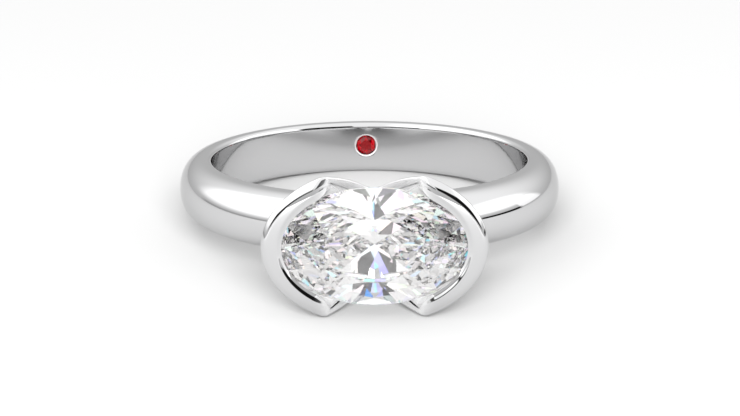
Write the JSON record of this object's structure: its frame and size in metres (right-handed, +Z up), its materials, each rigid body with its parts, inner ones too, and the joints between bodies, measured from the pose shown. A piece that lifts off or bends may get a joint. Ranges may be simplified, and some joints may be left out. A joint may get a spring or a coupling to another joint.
{
  "type": "oval engagement ring",
  "caption": "Ring with a domed shank and two half bezels that hold an oval brilliant across the finger, and a small round stone set flush inside the shank.",
  "frame": {"origin": "on the floor, under the middle of the ring's length and width as it lies on its side", "axes": "+Z up from the floor, +Y from the head towards the back of the shank, +X across the finger"},
  "size_m": [0.0198, 0.0242, 0.0074],
  "materials": {
    "white_metal": "high polish",
    "clear_stone": "brilliant cut, polished",
    "red_stone": "brilliant cut, polished"
  },
  "bodies": {
    "root": {"band_and_half_bezels": "white_metal", "oval_stone": "clear_stone", "accent_stone": "red_stone"}
  },
  "joints": []
}
